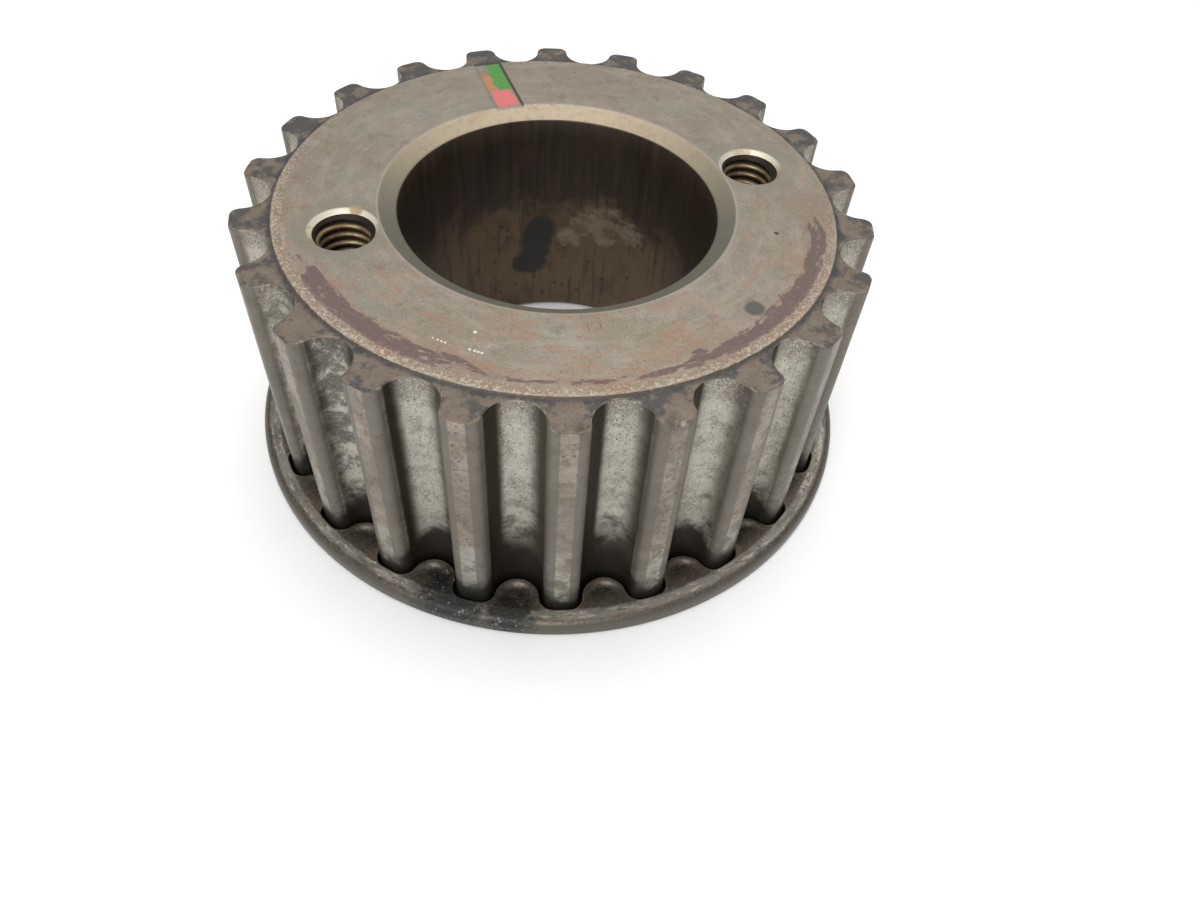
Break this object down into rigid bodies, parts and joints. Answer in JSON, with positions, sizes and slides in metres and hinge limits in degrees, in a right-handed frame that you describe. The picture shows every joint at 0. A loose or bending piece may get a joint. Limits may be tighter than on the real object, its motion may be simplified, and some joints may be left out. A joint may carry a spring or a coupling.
{
  "type": "timing belt pulley",
  "caption": "Toothed pulley for a timing belt, with a wide bore, tapped puller holes in a raised front face, a painted timing mark and a pressed guide flange round the back of its teeth.",
  "frame": {"origin": "centre of the bore at the back face, which is the bottom of the bounding box", "axes": "+Z along the bore towards the raised front face, +Y through the timing mark, tapped holes on the X axis"},
  "size_m": [0.07, 0.07, 0.0288],
  "materials": {
    "sintered_steel": "worn sintered steel, machined front face, oily bore",
    "pressed_steel": "darkened pressed steel with a belt-polished band"
  },
  "bodies": {
    "root": {"sprocket_body": "sintered_steel", "guide_flange": "pressed_steel"}
  },
  "joints": []
}
